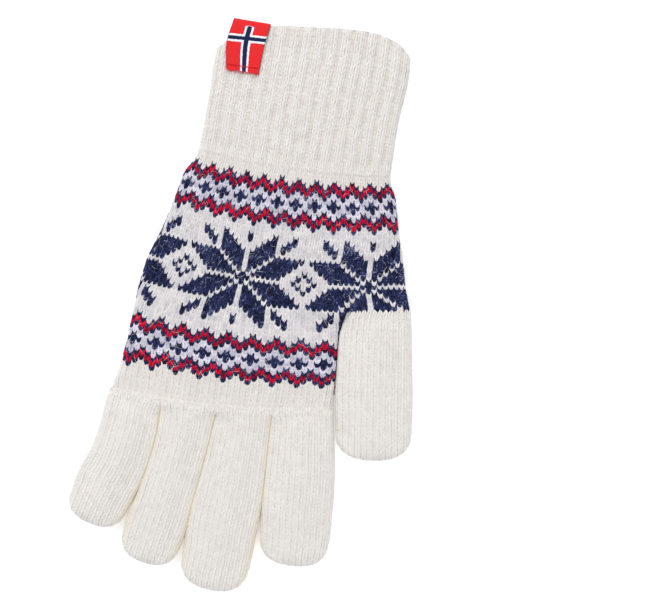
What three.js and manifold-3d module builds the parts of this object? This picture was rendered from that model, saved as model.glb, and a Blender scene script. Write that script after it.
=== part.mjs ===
// A knitted glove lying flat with the back of the hand up.
// Millimetres: X runs across the hand, Y from the fingertips to the cuff, and Z up from the surface
// that the glove lies on. The origin is under the middle of the glove.
//
// Each knitted piece is a flattened tube. Its table has one row for each measured course of the knit,
// from the cuff toward the fingertips. A row says where the course lies and how thick the tube is:
// x, y    middle of the course
// width   from fold to fold, along the course
// turn    angle of the course to X, in degrees
// bow     how far the middle of the course stands toward the cuff, from the line between its ends
// fold    thickness along the two folded sides
// crown   thickness in the middle
import * as THREE from 'three';
import * as BufferGeometryUtils from 'three/addons/utils/BufferGeometryUtils.js';
import Module from 'manifold-3d';

const wasm = await Module();
wasm.setup();

// Fabric
const CUFF_WALL = 2.1;
const HAND_WALL = 1.7;
const FINGER_WALL = 1.5;
const GAP = 0.35;
const BASE_OVERLAP = 0.8;

// Ribs of the cuff: two knitted columns stand up and one lies back
const RIBS_ROUND = 32;
const RIB_DEPTH = 0.55;
const RIB_HEIGHTS = [0, 1, 0.7, 1];
const RIB_FADE = 1.2;

// Rim of the cuff, which rounds off over its last stretch
const RIM_LENGTH = 1.1;
const RIM_ROUNDING = 0.6;

// Courses near the rim bow mostly at their ends
const HAND_BOW_POWER = 2;
const RIM_BOW_POWER = 4;

// Closed fingertips, and how square their outline is
const TIP_POWER = 2.5;
const TIP_STEPS = 6;
const TIP_REACH = 0.985;

// Corners round each tube
const RIB_POINTS = RIB_HEIGHTS.length;
const HAND_POINTS = 52;
const FINGER_POINTS = 24;
const CUFF_STEPS = 1;
const HAND_STEPS = 2;
const OUTLINE_STEPS = 24;
const HOLLOW_STEPS = 3;

// Woven tab, folded over the rim
const TAB_LEFT = -35.4;
const TAB_WIDTH = 15.4;
const TAB_END = 95.8;
const TAB_FOLD = 117.9;
const TAB_BEND = 2.6;
const TAB_THICKNESS = 0.55;
const TAB_STEPS = 6;
const TAB_BEND_STEPS = 8;

const CREAM = 0xebe6df;
const PATTERNED = 0x9a9db2;
const TAB_RED = 0xd8373b;

// A course without ribs, on the ground
const PLAIN_COURSE = { lift: 0, rib: 0, power: HAND_BOW_POWER };

const ROW_COLUMNS = ['x', 'y', 'width', 'turn', 'bow', 'fold', 'crown'];

const CUFF_ROWS = namedRows([
  [0.2, 108.8, 82.6, 7.0, 10.4, 8.6, 10.0],
  [0.4, 98.6, 83.2, 4.2, 4.4, 8.8, 10.2],
  [0.2, 90.0, 81.8, 2.4, 1.6, 8.9, 10.3],
  [0.1, 80.0, 81.4, 1.6, -0.4, 8.8, 10.2],
  [0.2, 70.0, 81.8, 1.6, -1.8, 8.4, 9.6],
  [0.2, 63.4, 82.2, 1.8, -2.7, 8.0, 8.9],
]);

const HAND_ROWS = namedRows([
  [0.2, 63.0, 82.2, 1.8, -2.7, 7.6, 8.6],
  [0.2, 59.0, 83.4, 2.0, -2.7, 7.4, 8.8],
  [0.0, 53.4, 89.0, 2.6, -2.6, 7.4, 9.2],
  [0.3, 42.5, 94.4, 3.0, -2.5, 7.6, 9.6],
  [1.0, 29.5, 101.3, 2.9, -2.4, 7.6, 9.7],
  [1.2, 14.5, 110.2, 2.1, -2.6, 7.6, 9.6],
  [2.2, 5.9, 114.8, 1.9, -2.2, 7.4, 9.1],
]);

const PALM_ROWS = namedRows([
  [-11.0, 13.0, 85.8, 1.2, -1.8, 7.4, 8.8],
  [-11.7, 4.0, 87.0, 1.2, -2.0, 7.4, 9.0],
  [-12.2, -8.0, 87.4, 1.4, -2.2, 7.4, 9.4],
  [-11.9, -19.0, 88.8, 2.2, -2.5, 7.4, 9.4],
  [-12.0, -31.5, 91.2, 3.6, -2.8, 7.2, 9.0],
  [-12.7, -40.9, 94.2, 5.2, -3.4, 7.0, 8.6],
]);

const THUMB_ROWS = namedRows([
  [46.0, 6.2, 26.6, 5.0, 0.0, 7.0, 7.8],
  [46.3, 0.0, 28.6, 7.0, 0.0, 7.2, 8.6],
  [47.2, -8.0, 30.2, 8.0, 0.0, 7.2, 9.2],
  [48.9, -20.0, 31.2, 9.0, 0.0, 7.2, 9.4],
  [51.1, -34.0, 32.2, 9.0, 0.0, 7.0, 9.2],
  [52.7, -43.5, 32.4, 8.5, 0.0, 6.8, 8.8],
]);

const INDEX_ROWS = namedRows([
  [21.9, -39.3, 24.8, 11.0, 0.0, 7.0, 7.8],
  [22.5, -45.0, 25.7, 9.5, 0.0, 7.0, 8.6],
  [23.4, -52.0, 26.8, 7.5, 0.0, 7.2, 9.0],
  [25.0, -64.0, 28.4, 5.0, 0.0, 7.2, 9.3],
  [26.5, -78.0, 29.2, 3.5, 0.0, 7.2, 9.4],
  [27.4, -88.0, 29.8, 3.5, 0.0, 7.0, 9.0],
  [27.7, -93.0, 29.6, 3.5, 0.0, 6.8, 8.6],
]);

const MIDDLE_ROWS = namedRows([
  [-2.6, -43.2, 22.2, 7.0, 0.0, 7.0, 8.4],
  [-2.4, -49.0, 22.8, 5.0, 0.0, 7.0, 8.7],
  [-2.3, -58.0, 24.0, 3.0, 0.0, 7.2, 9.0],
  [-2.4, -72.0, 26.0, 0.0, 0.0, 7.2, 9.3],
  [-2.9, -88.0, 28.3, -1.0, 0.0, 7.2, 9.4],
  [-3.1, -102.0, 29.4, -1.5, 0.0, 7.0, 9.0],
  [-3.4, -108.5, 29.2, -2.0, 0.0, 6.8, 8.6],
]);

const RING_ROWS = namedRows([
  [-25.9, -45.2, 22.6, 3.0, 0.0, 7.0, 8.3],
  [-25.8, -51.0, 22.0, 2.0, 0.0, 7.0, 8.7],
  [-25.9, -58.0, 21.7, 0.0, 0.0, 7.2, 9.0],
  [-27.1, -72.0, 21.8, -4.0, 0.0, 7.2, 9.2],
  [-29.2, -86.0, 23.2, -6.5, 0.0, 7.2, 9.3],
  [-31.1, -98.0, 25.4, -7.5, 0.0, 7.0, 9.0],
  [-31.7, -103.5, 25.2, -7.5, 0.0, 6.8, 8.6],
]);

const LITTLE_ROWS = namedRows([
  [-48.8, -45.5, 21.4, -1.0, 0.0, 7.0, 7.8],
  [-48.7, -51.0, 21.8, -3.0, 0.0, 7.0, 8.6],
  [-48.9, -58.0, 22.8, -5.5, 0.0, 7.2, 9.0],
  [-50.9, -72.0, 24.2, -9.0, 0.0, 7.2, 9.2],
  [-54.4, -84.5, 25.7, -12.5, 0.0, 7.0, 9.0],
  [-56.2, -91.5, 25.4, -13.0, 0.0, 6.8, 8.6],
]);

// Closed fingers, each with the length of its rounded tip
const FINGERS = [
  { name: 'index_finger', rows: INDEX_ROWS, tip: 12.2 },
  { name: 'middle_finger', rows: MIDDLE_ROWS, tip: 12.6 },
  { name: 'ring_finger', rows: RING_ROWS, tip: 11.2 },
  { name: 'little_finger', rows: LITTLE_ROWS, tip: 11.0 },
  { name: 'thumb', rows: THUMB_ROWS, tip: 12.2 },
];

function namedRows(rows) {
  return rows.map((row) => Object.fromEntries(ROW_COLUMNS.map((name, i) => [name, row[i]])));
}

// Measured courses, with steps between them on a smooth curve
function smoothRows(rows, steps) {
  const stations = rows.map((row, i) => i);
  const values = rows.flatMap((row) => ROW_COLUMNS.map((name) => row[name]));
  const track = new THREE.CubicInterpolant(stations, values, ROW_COLUMNS.length);
  const smooth = [];
  for (let i = 0; i <= (rows.length - 1) * steps; i += 1) {
    const along = i / ((rows.length - 1) * steps);
    const sample = Array.from(track.evaluate(i / steps));
    const row = Object.fromEntries(ROW_COLUMNS.map((name, k) => [name, sample[k]]));
    smooth.push({ ...row, ...PLAIN_COURSE, along });
  }
  return smooth;
}

// The same course further in, or with a negative depth further out
function insetRow(row, depth) {
  return {
    ...row,
    width: row.width - 2 * depth,
    fold: row.fold - 2 * depth,
    crown: row.crown - 2 * depth,
    lift: row.lift + depth,
  };
}

// The course moved toward the fingertips, square to its own line
function movedRow(row, distance) {
  const angle = THREE.MathUtils.degToRad(row.turn);
  return { ...row, x: row.x + distance * Math.sin(angle), y: row.y - distance * Math.cos(angle) };
}

// Courses of a closed fingertip, which ends in a very small ring
function tipRows(last, length) {
  const rows = [];
  const radius = last.fold / 2;
  for (let i = 1; i <= TIP_STEPS; i += 1) {
    const reach = Math.sin((i / TIP_STEPS) * (Math.PI / 2)) * TIP_REACH;
    const narrowing = (1 - reach ** TIP_POWER) ** (1 / TIP_POWER);
    const pastEdge = Math.max(0, (reach * length - length + radius) / radius);
    const fold = last.fold * Math.sqrt(1 - pastEdge * pastEdge);
    rows.push({
      ...movedRow(last, reach * length),
      width: Math.max(last.width * narrowing, fold * 1.02),
      fold,
      crown: fold + (last.crown - last.fold) * narrowing * narrowing,
      lift: last.lift + (last.fold - fold) / 2,
    });
  }
  return rows;
}

// Points at even distances along a closed path
function evenlySpread(path, count) {
  const lengths = [0];
  path.forEach(([ax, az], i) => {
    const [bx, bz] = path[(i + 1) % path.length];
    lengths.push(lengths[i] + Math.hypot(bx - ax, bz - az));
  });
  const spread = [];
  let at = 0;
  for (let i = 0; i < count; i += 1) {
    const goal = (i / count) * lengths[path.length];
    while (lengths[at + 1] <= goal) {
      at += 1;
    }
    const t = (goal - lengths[at]) / (lengths[at + 1] - lengths[at]);
    const [ax, az] = path[at];
    const [bx, bz] = path[(at + 1) % path.length];
    spread.push([ax + (bx - ax) * t, az + (bz - az) * t]);
  }
  return spread;
}

// Outline of one course as pairs of distance across and height.
// It starts at the left fold, crosses the top to the right fold and comes back underneath.
function courseOutline(row, steps) {
  const radius = row.fold / 2;
  const flat = row.width / 2 - radius;
  const path = [];
  const addArc = (centre, start, sweep) => {
    for (let i = 0; i < steps; i += 1) {
      const angle = Math.PI * (start + (sweep * i) / steps);
      path.push([centre + radius * Math.cos(angle), radius + radius * Math.sin(angle)]);
    }
  };
  addArc(-flat, 1, -0.5);
  for (let i = 0; i < 2 * steps; i += 1) {
    const s = i / steps - 1;
    path.push([s * flat, row.fold + (row.crown - row.fold) * (1 - s * s) ** 1.5]);
  }
  addArc(flat, 0.5, -1);
  for (let i = 0; i < 2 * steps; i += 1) {
    path.push([(1 - i / steps) * flat, 0]);
  }
  addArc(-flat, -0.5, -0.5);
  return path;
}

// Outside of a tube, in even small steps, with its furrows
function skinOutline(count) {
  return (row) => ribbedOutline(evenlySpread(courseOutline(row, OUTLINE_STEPS), count), row.rib);
}

// Inside of a tube, in few steps
function hollowOutline(row) {
  return courseOutline(row, HOLLOW_STEPS);
}

// Furrows between the ribs, pressed in square to the outline
function ribbedOutline(outline, depth) {
  return outline.map(([across, height], i) => {
    const [ax, az] = outline[(i + outline.length - 1) % outline.length];
    const [bx, bz] = outline[(i + 1) % outline.length];
    const furrow = (depth * (1 - RIB_HEIGHTS[i % RIB_POINTS])) / Math.hypot(bx - ax, bz - az);
    return [across + furrow * (bz - az), height - furrow * (bx - ax)];
  });
}

function courseRing(row, outline) {
  const angle = THREE.MathUtils.degToRad(row.turn);
  return outline(row).map(([across, height]) => {
    const s = Math.min(1, Math.abs((2 * across) / row.width));
    const x = row.x + across * Math.cos(angle);
    const y = row.y + across * Math.sin(angle) + row.bow * (1 - s ** row.power);
    return new THREE.Vector3(x, y, row.lift + height);
  });
}

// Closed solid through a list of courses
function tube(rows, outline) {
  const points = rows.flatMap((row) => courseRing(row, outline));
  const count = points.length / rows.length;
  const faces = [];
  for (let r = 0; r + 1 < rows.length; r += 1) {
    for (let i = 0; i < count; i += 1) {
      const a = r * count + i;
      const b = r * count + ((i + 1) % count);
      faces.push(a, a + count, b);
      faces.push(b, a + count, b + count);
    }
  }
  [0, rows.length - 1].forEach((r) => {
    const ring = points.slice(r * count, (r + 1) * count);
    const centre = new THREE.Vector3();
    ring.forEach((point) => centre.addScaledVector(point, 1 / count));
    points.push(centre);
    for (let i = 0; i < count; i += 1) {
      const pair = [r * count + i, r * count + ((i + 1) % count)];
      faces.push(points.length - 1, ...(r === 0 ? pair : pair.reverse()));
    }
  });
  const geometry = new THREE.BufferGeometry().setFromPoints(points);
  geometry.setIndex(faces);
  return solid(geometry);
}

function solid(geometry) {
  geometry.deleteAttribute('normal');
  geometry.deleteAttribute('uv');
  const merged = BufferGeometryUtils.mergeVertices(geometry);
  return new wasm.Manifold(new wasm.Mesh({
    numProp: 3,
    vertProperties: new Float32Array(merged.attributes.position.array),
    triVerts: new Uint32Array(merged.index.array),
  }));
}

// The largest piece that a cut leaves, without loose slivers
function mainPiece(body) {
  return body.decompose().reduce((most, piece) => (piece.volume() > most.volume() ? piece : most));
}

function mesh(name, body, color) {
  const { vertProperties, triVerts } = mainPiece(body).getMesh();
  const geometry = new THREE.BufferGeometry();
  geometry.setAttribute('position', new THREE.BufferAttribute(new Float32Array(vertProperties), 3));
  geometry.setIndex(new THREE.BufferAttribute(new Uint32Array(triVerts), 1));
  geometry.computeVertexNormals();
  const material = new THREE.MeshStandardMaterial({ color, roughness: 0.95, metalness: 0 });
  const result = new THREE.Mesh(geometry, material);
  result.name = name;
  return result;
}

// Open stretch of tube, made thinner by a depth and longer at either end
function openTube(rows, steps, outline, depth, before, after) {
  const courses = smoothRows(rows, steps).map((row) => insetRow(row, depth));
  const end = courses.length - 1;
  courses[0] = movedRow(courses[0], -before);
  courses[end] = movedRow(courses[end], after);
  return tube(courses, outline);
}

// Body of the hand, with the stretch above the thumb and the narrower one below it
function handTube(outline, depth, before, after) {
  const upper = openTube(HAND_ROWS, HAND_STEPS, outline, depth, before, after);
  const lower = openTube(PALM_ROWS, 1, outline, depth, 0, after);
  return upper.add(lower);
}

// Finger with a closed tip, lengthened at its base so that the hand can cut it there
function fingerTube({ rows, tip }, outline, depth, before) {
  const courses = rows.map((row) => insetRow({ ...row, ...PLAIN_COURSE }, depth));
  courses[0] = movedRow(courses[0], -before);
  return tube([...courses, ...tipRows(courses[rows.length - 1], tip - depth)], outline);
}

// Cuff, whose ribs begin a little above the hand and whose rim is rounded
function cuffCourses(steps, depth) {
  return smoothRows(CUFF_ROWS, steps).map((row) => ({
    ...insetRow(row, depth),
    power: THREE.MathUtils.lerp(RIM_BOW_POWER, HAND_BOW_POWER, row.along),
    rib: depth > 0 ? 0 : RIB_DEPTH * Math.min(1, (1 - row.along) * (CUFF_ROWS.length / RIB_FADE)),
  }));
}

function ribbedCuff() {
  const courses = cuffCourses(CUFF_STEPS, 0);
  const rim = courses[0];
  courses[0] = movedRow(rim, RIM_LENGTH);
  courses.unshift({ ...insetRow(rim, RIM_ROUNDING), rib: 0 });
  const hollow = cuffCourses(1, CUFF_WALL);
  const joint = hollow.length - 1;
  hollow[0] = movedRow(hollow[0], -1);
  hollow[joint] = movedRow(hollow[joint], 1);
  return tube(courses, skinOutline(RIBS_ROUND * RIB_POINTS)).subtract(tube(hollow, hollowOutline));
}

// Height of the cuff's front under the woven tab, across the hand
function cuffTop(x) {
  const { fold, crown, width } = CUFF_ROWS[1];
  const s = Math.min(1, Math.abs((2 * x) / (width - fold)));
  return fold + (crown - fold) * (1 - s * s) ** 1.5;
}

// Strip of ribbon with one leaf outside the cuff and one inside, bent over the rim
function wovenTab() {
  const bend = new THREE.Shape();
  const front = GAP;
  const back = -CUFF_WALL - 2 * GAP;
  const middle = (front + back) / 2;
  const straight = TAB_FOLD - TAB_THICKNESS - TAB_BEND;
  const side = (offset) => {
    const points = [new THREE.Vector2(TAB_END, back - offset)];
    for (let i = 0; i <= TAB_BEND_STEPS; i += 1) {
      const angle = Math.PI * (i / TAB_BEND_STEPS - 0.5);
      const reach = (TAB_BEND + offset) * Math.cos(angle);
      const height = ((front - back) / 2 + offset) * Math.sin(angle);
      points.push(new THREE.Vector2(straight + reach, middle + height));
    }
    points.push(new THREE.Vector2(TAB_END, front + offset));
    return points;
  };
  bend.setFromPoints([...side(TAB_THICKNESS), ...side(0).reverse()]);
  const ribbon = new THREE.ExtrudeGeometry(bend, {
    depth: TAB_WIDTH,
    steps: TAB_STEPS,
    bevelEnabled: false,
  });
  // The profile lies in Y and Z, and the strip's width runs along X
  ribbon.applyMatrix4(new THREE.Matrix4().makeBasis(
    new THREE.Vector3(0, 1, 0),
    new THREE.Vector3(0, 0, 1),
    new THREE.Vector3(1, 0, 0),
  ));
  const position = ribbon.attributes.position;
  for (let i = 0; i < position.count; i += 1) {
    const x = TAB_LEFT + position.getX(i);
    position.setXYZ(i, x, position.getY(i), position.getZ(i) + cuffTop(x));
  }
  return solid(ribbon);
}

function handNode() {
  const hollow = handTube(hollowOutline, HAND_WALL, 1, GAP / 2);
  return handTube(skinOutline(HAND_POINTS), 0, 0, 0).subtract(hollow);
}

const glove = new THREE.Group();
const handSpace = handTube(skinOutline(HAND_POINTS), -GAP, GAP, GAP);
glove.add(mesh('hand', handNode(), PATTERNED));
glove.add(mesh('ribbed_cuff', ribbedCuff().subtract(handSpace), CREAM));
FINGERS.forEach((finger) => {
  const skin = fingerTube(finger, skinOutline(FINGER_POINTS), 0, BASE_OVERLAP);
  const hollow = fingerTube(finger, hollowOutline, FINGER_WALL, 3 * BASE_OVERLAP);
  glove.add(mesh(finger.name, skin.subtract(hollow).subtract(handSpace), CREAM));
});
glove.add(mesh('woven_tab', wovenTab(), TAB_RED));

export default glove;
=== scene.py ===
import math
from functools import partial

import bpy
import numpy as np
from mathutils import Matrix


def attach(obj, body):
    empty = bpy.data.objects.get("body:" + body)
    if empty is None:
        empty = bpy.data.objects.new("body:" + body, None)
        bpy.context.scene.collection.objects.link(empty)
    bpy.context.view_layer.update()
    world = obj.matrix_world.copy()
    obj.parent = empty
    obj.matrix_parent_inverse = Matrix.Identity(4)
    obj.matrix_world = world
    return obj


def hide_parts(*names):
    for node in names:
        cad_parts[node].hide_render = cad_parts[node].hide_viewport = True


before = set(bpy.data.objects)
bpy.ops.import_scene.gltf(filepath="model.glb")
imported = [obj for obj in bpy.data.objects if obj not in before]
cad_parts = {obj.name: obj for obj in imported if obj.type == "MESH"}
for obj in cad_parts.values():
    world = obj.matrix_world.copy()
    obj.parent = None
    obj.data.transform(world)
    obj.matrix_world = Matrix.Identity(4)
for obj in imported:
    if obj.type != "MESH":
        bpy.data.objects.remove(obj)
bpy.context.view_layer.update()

MM = 0.001

# Outline rows, from the cuff's rim to the fingertips, in millimetres and degrees, with these columns. Only the
# cuff's rows are bowed
ROW = ["x", "y", "width", "turn", "fold", "crown", "bow"]
CUFF_ROWS = [
    [0.2, 108.8, 82.6, 7.0, 8.6, 10.0, 10.4],
    [0.4, 98.6, 83.2, 4.2, 8.8, 10.2, 4.4],
    [0.2, 90.0, 81.8, 2.4, 8.9, 10.3, 1.6],
    [0.1, 80.0, 81.4, 1.6, 8.8, 10.2, -0.4],
    [0.2, 70.0, 81.8, 1.6, 8.4, 9.6, -1.8],
    [0.2, 63.4, 82.2, 1.8, 8.0, 8.9, -2.7],
]
HAND_ROWS = [
    [0.2, 63.4, 82.2, 1.8, 7.8, 8.8],
    [0.2, 59.0, 83.4, 2.0, 7.4, 8.8],
    [0.0, 53.4, 89.0, 2.6, 7.4, 9.2],
    [0.3, 42.5, 94.4, 3.0, 7.6, 9.6],
    [1.0, 29.5, 101.3, 2.9, 7.6, 9.7],
    [1.2, 14.5, 110.2, 2.1, 7.6, 9.6],
    [2.2, 5.9, 114.8, 1.9, 7.4, 9.1],
]
PALM_ROWS = [
    [-9.65, 13.0, 88.5, 1.2, 7.4, 9.1],
    [-11.1, 4.0, 88.2, 1.2, 7.4, 9.1],
    [-12.2, -8.0, 87.4, 1.4, 7.4, 9.4],
    [-11.9, -19.0, 88.8, 2.2, 7.4, 9.4],
    [-12.0, -31.5, 91.2, 3.6, 7.2, 9.0],
    [-12.7, -40.9, 94.2, 5.2, 7.0, 8.6],
]
# Each finger: its rows, the length of its tip, its columns of stitches, and how far from its base its left
# and right sides are held against what lies beside them
FINGERS = {
    "thumb": {"tip": 12.2, "columns": 28, "held": (34, 0), "rows": [
        [47.0, 6.3, 24.6, 10.0, 7.0, 7.8],
        [46.3, 0.0, 28.6, 9.0, 7.2, 8.6],
        [47.2, -8.0, 30.2, 8.6, 7.2, 9.2],
        [48.9, -20.0, 31.2, 9.0, 7.2, 9.4],
        [51.1, -34.0, 32.2, 9.0, 7.0, 9.2],
        [52.7, -43.5, 32.4, 8.5, 6.8, 8.8],
    ]},
    "index_finger": {"tip": 12.2, "columns": 26, "held": (42, 0), "rows": [
        [21.9, -39.3, 24.8, 11.0, 7.0, 7.8],
        [22.5, -45.0, 25.7, 9.5, 7.0, 8.6],
        [23.4, -52.0, 26.8, 7.5, 7.2, 9.0],
        [25.0, -64.0, 28.4, 5.0, 7.2, 9.3],
        [26.5, -78.0, 29.2, 3.5, 7.2, 9.4],
        [27.4, -88.0, 29.8, 3.5, 7.0, 9.0],
        [27.7, -93.0, 29.6, 3.5, 6.8, 8.6],
    ]},
    "middle_finger": {"tip": 12.6, "columns": 26, "held": (50, 42), "rows": [
        [-2.6, -43.2, 22.2, 7.0, 7.0, 8.4],
        [-2.4, -49.0, 22.8, 5.0, 7.0, 8.7],
        [-2.3, -58.0, 24.0, 3.0, 7.2, 9.0],
        [-2.4, -72.0, 26.0, 0.0, 7.2, 9.3],
        [-2.9, -88.0, 28.3, -1.0, 7.2, 9.4],
        [-3.1, -102.0, 29.4, -1.5, 7.0, 9.0],
        [-3.4, -108.5, 29.2, -2.0, 6.8, 8.6],
    ]},
    "ring_finger": {"tip": 11.2, "columns": 22, "held": (34, 50), "rows": [
        [-25.9, -45.2, 22.6, 3.0, 7.0, 8.3],
        [-25.8, -51.0, 22.0, 2.0, 7.0, 8.7],
        [-25.9, -58.0, 21.7, 0.0, 7.2, 9.0],
        [-27.1, -72.0, 21.8, -4.0, 7.2, 9.2],
        [-29.2, -86.0, 23.2, -6.5, 7.2, 9.3],
        [-31.1, -98.0, 25.4, -7.5, 7.0, 9.0],
        [-31.7, -103.5, 25.2, -7.5, 6.8, 8.6],
    ]},
    "little_finger": {"tip": 11.0, "columns": 22, "held": (0, 34), "rows": [
        [-48.8, -45.5, 21.4, -1.0, 7.0, 7.8],
        [-49.1, -51.0, 22.6, -3.0, 7.0, 8.6],
        [-49.2, -58.0, 23.4, -5.5, 7.2, 9.0],
        [-50.9, -72.0, 24.2, -9.0, 7.2, 9.2],
        [-54.4, -84.5, 25.7, -12.5, 7.0, 9.0],
        [-56.2, -91.5, 25.4, -13.0, 6.8, 8.6],
    ]},
}

# Lines of the hand's courses: course, height at COURSE_MIDDLE, slope there, curve
COURSE_LINES = [
    [-4.5, 62.3, -0.005, 0.0016],
    [-3.5, 60.5, -0.005, 0.0016],
    [0.0, 54.4, 0.002, 0.0019],
    [12.0, 34.3, 0.0, 0.0019],
    [25.0, 11.0, 0.018, 0.0015],
    [38.0, -13.3, 0.026, 0.0016],
    [50.0, -32.7, 0.055, 0.0014],
    [56.5, -44.3, 0.093, 0.0015],
    [57.5, -46.1, 0.095, 0.0015],
]
COURSE_MIDDLE = -12.0

# Places of the hand's columns: course, x of the first star's middle, spacing, growth
COLUMN_LINES = [
    [-4.5, -10.7, 1.81, 0.0],
    [-3.5, -10.7, 1.81, 0.0],
    [0.0, -11.1, 1.845, 0.0],
    [12.0, -12.2, 2.07, 0.0018],
    [25.0, -13.1, 2.12, 0.0038],
    [38.0, -14.2, 2.48, 0.003],
    [50.0, -13.4, 2.56, 0.001],
    [57.5, -13.2, 2.56, 0.001],
]
# Counts of courses and columns. The hand is split at the thumb's root, and the back of the hand ends at one
# column above the split and at another below it
FIRST_COURSE, SPLIT_COURSE, LAST_COURSE = -3, 31, 57
FIRST_COLUMN, HAND_COLUMNS, THUMB_COLUMNS = -21, 96, 22
UPPER_FRONT_END, LOWER_FRONT_END = 33, 21
PALM_COLUMNS = HAND_COLUMNS - THUMB_COLUMNS
CUFF_COURSES, CUFF_INSIDE = 31, 4
# The column of dark stitches beside the thumb, and its courses: painted shade in the groove under the thumb's edge,
# partly also the border's navy and red that wraps into it
THUMB_SHADE_COLUMN, THUMB_SHADE_COURSES = 19, range(36, 53)
# Where the fingers part, and how near to that a column of their webs is
CROTCHES, CROTCH_REACH = (9.1, -14.2, -37.7), 1.9
# Heights of the hand's last full course and of the webs between the fingers
LAST_HEIGHT, WEB_HEIGHT = -0.12, -0.2
# Middle, width, fold and crown where the thumb and the fingers grow out of the hand, and near the rim
THUMB_ROOT, FINGER_ROOT, NEAR_RIM = (2.2, 114.8, 7.4, 9.1), (-12.7, 94.2, 7.0, 8.6), (0.4, 83.2, 8.8, 10.2)

FINGER_COURSE = 1.64
CUFF_WALL, HAND_WALL, FINGER_WALL, RIB_WALL = 2.1, 1.7, 1.5, 0.25
RIM_RADIUS = CUFF_WALL / 2
# How far round from its left fold the cuff's column 0 is
CUFF_START = 17.4
# The ground cloth's depth below the outline, how much nearer it comes where the fingers start, how steeply it
# dips under them, and its rings along a finger and over a tip
GROUND_DEPTH, GROUND_RISE, GROUND_DIP = 0.28, 0.12, 0.6
FINGER_RINGS, TIP_RINGS = 24, 8
# How much each wool stands up: cream, white, navy, red, frosted white
LOFT = [0.0, 0.0, 0.055, 0.12, 0.0]
# Fingers are wider by the swell over HELD_REACH, and by the press too where they touch. Both fade over HELD_FADE
FINGER_SWELL, FINGER_PRESS, HELD_REACH, HELD_FADE = 0.5, 0.3, 34, 14
# How square a finger's side is where it is held
SQUARE_SIDE = 0.6
# The rib's grooves, how far their columns are drawn together, and the full courses above them
RIB_DEPTH, RIB_BREADTH, GATHER, PLAIN_COURSES = 1.15, 0.8, 0.16, 3
TIP_POWER, TIP_ROWS = 2.5, 26
ARC_STEPS, FLAT_STEPS = 10, 40

# How stitches wander, in columns and courses: up and down, in breadth, sideways, leaning and along,
# and then the slow drift of whole columns and courses
SINK, SPREAD, SLIDE, LEAN, SHIFT = 0.04, 0.06, 0.03, 0.04, 0.07
COLUMN_DRIFT, COURSE_DRIFT = 0.10, 0.12
# Stray fibres: how many lie in a row of the array, a column's breadth, how deep the ends lie, and ranges of size
FIBRE_ROW, FIBRE_COLUMN, FIBRE_SINK = 10, 2.3, 0.02
FIBRE_LENGTH, FIBRE_ARCH, FIBRE_RADIUS = (1.2, 4.2), (0.05, 0.6), (0.035, 0.055)

# The woven tab: its sides as y and x, where its leaf starts and ends, its bend over the rim and how far it lies
# above the cuff. Its cross is given by the middles of upright and bar, the upright's end and half their widths
TAB_LENGTH, TAB_BREADTH, TAB_THICKNESS = 44.0, 15.4, 0.45
TAB_LEFT = ([95.7, 107.3, 117.4], [-34.7, -36.6, -35.3])
TAB_RIGHT = ([96.1, 110.8, 117.4], [-21.1, -20.4, -19.6])
TAB_FOOT, TAB_TOP, TAB_BEND, TAB_RAISE = 95.9, 117.6, 2.6, 0.62
# Stitches in the sewn row, rows of frayed ends, their heights, and the height where the ribbon's sides are read
TAB_STITCHES, TAB_FRAYS, TAB_SEWN, TAB_FRAYED, TAB_SIDES_AT = 11, 4, 98.2, 95.8, 96.5
CROSS_UPRIGHT, CROSS_BAR, CROSS_END, UPRIGHT_HALF, BAR_HALF = 8.4, 13.2, 18.7, 0.95, 0.75

STUDIO_WHITE = (0.97, 1.0, 1.06)

# The chart: N navy, R red, . white, f frosted white, read from the cuff to the fingers
BORDER = [
    "N...", "RN.N", "NRNR", "fNRN", "ffNf", "Nfff", "NNfN",
    "Nfff", "ffNf", "fNRN", "NRNR", "RN.N", "N...",
]
STAR_REPEAT, STAR_MIDDLE, STAR_REACH = 24, 25, 10
LOWER_BORDER = 38


# Curves and outlines

def smooth(knots, values, at):
    """A smooth curve through a short table, read at any places along its knots."""
    knots, values, at = (np.asarray(a, float) for a in (knots, values, at))
    slopes = np.gradient(values, knots)
    i = np.clip(np.searchsorted(knots, at) - 1, 0, len(knots) - 2)
    step = knots[i + 1] - knots[i]
    t = (at - knots[i]) / step
    return (
        (2 * t**3 - 3 * t**2 + 1) * values[i] + (t**3 - 2 * t**2 + t) * step * slopes[i]
        + (3 * t**2 - 2 * t**3) * values[i + 1] + (t**3 - t**2) * step * slopes[i + 1]
    )


def ease(t):
    t = np.clip(t, 0, 1)
    return t * t * (3 - 2 * t)


def dome(x, centre, width, fold, crown):
    """The height of a flattened tube's upper side at x."""
    s = np.clip(np.abs(x - centre) / (width / 2 - fold / 2), 0, 1)
    return fold + (crown - fold) * (1 - s * s) ** 1.5


def outline(width, fold, crown, square=(0.0, 0.0)):
    """A flattened tube's section from the middle of its left fold, over the top, round and back to the start."""
    radius = fold / 2
    flat = width / 2 - radius
    turn = np.linspace(0, math.pi / 2, ARC_STEPS + 1)
    corners = []
    for sharp in square:
        power = 1 - 0.75 * sharp
        corners.append((radius * np.cos(turn).clip(0) ** power, radius * np.sin(turn) ** power))
    (left_out, left_up), (right_out, right_up) = corners
    s = np.linspace(-1, 1, FLAT_STEPS + 1)[1:-1]
    top = fold + (crown - fold) * (1 - s * s) ** 1.5
    across = np.concatenate([
        -flat - left_out, s * flat, (flat + right_out)[::-1],
        (flat + right_out)[1:], -s * flat, (-flat - left_out)[::-1],
    ])
    height = np.concatenate([
        radius + left_up, top, (radius + right_up)[::-1],
        (radius - right_up)[1:], 0 * s, (radius - left_up)[::-1],
    ])
    return across, height


def lengths_along(across, height):
    return np.concatenate([[0], np.cumsum(np.hypot(np.diff(across), np.diff(height)))])


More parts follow.
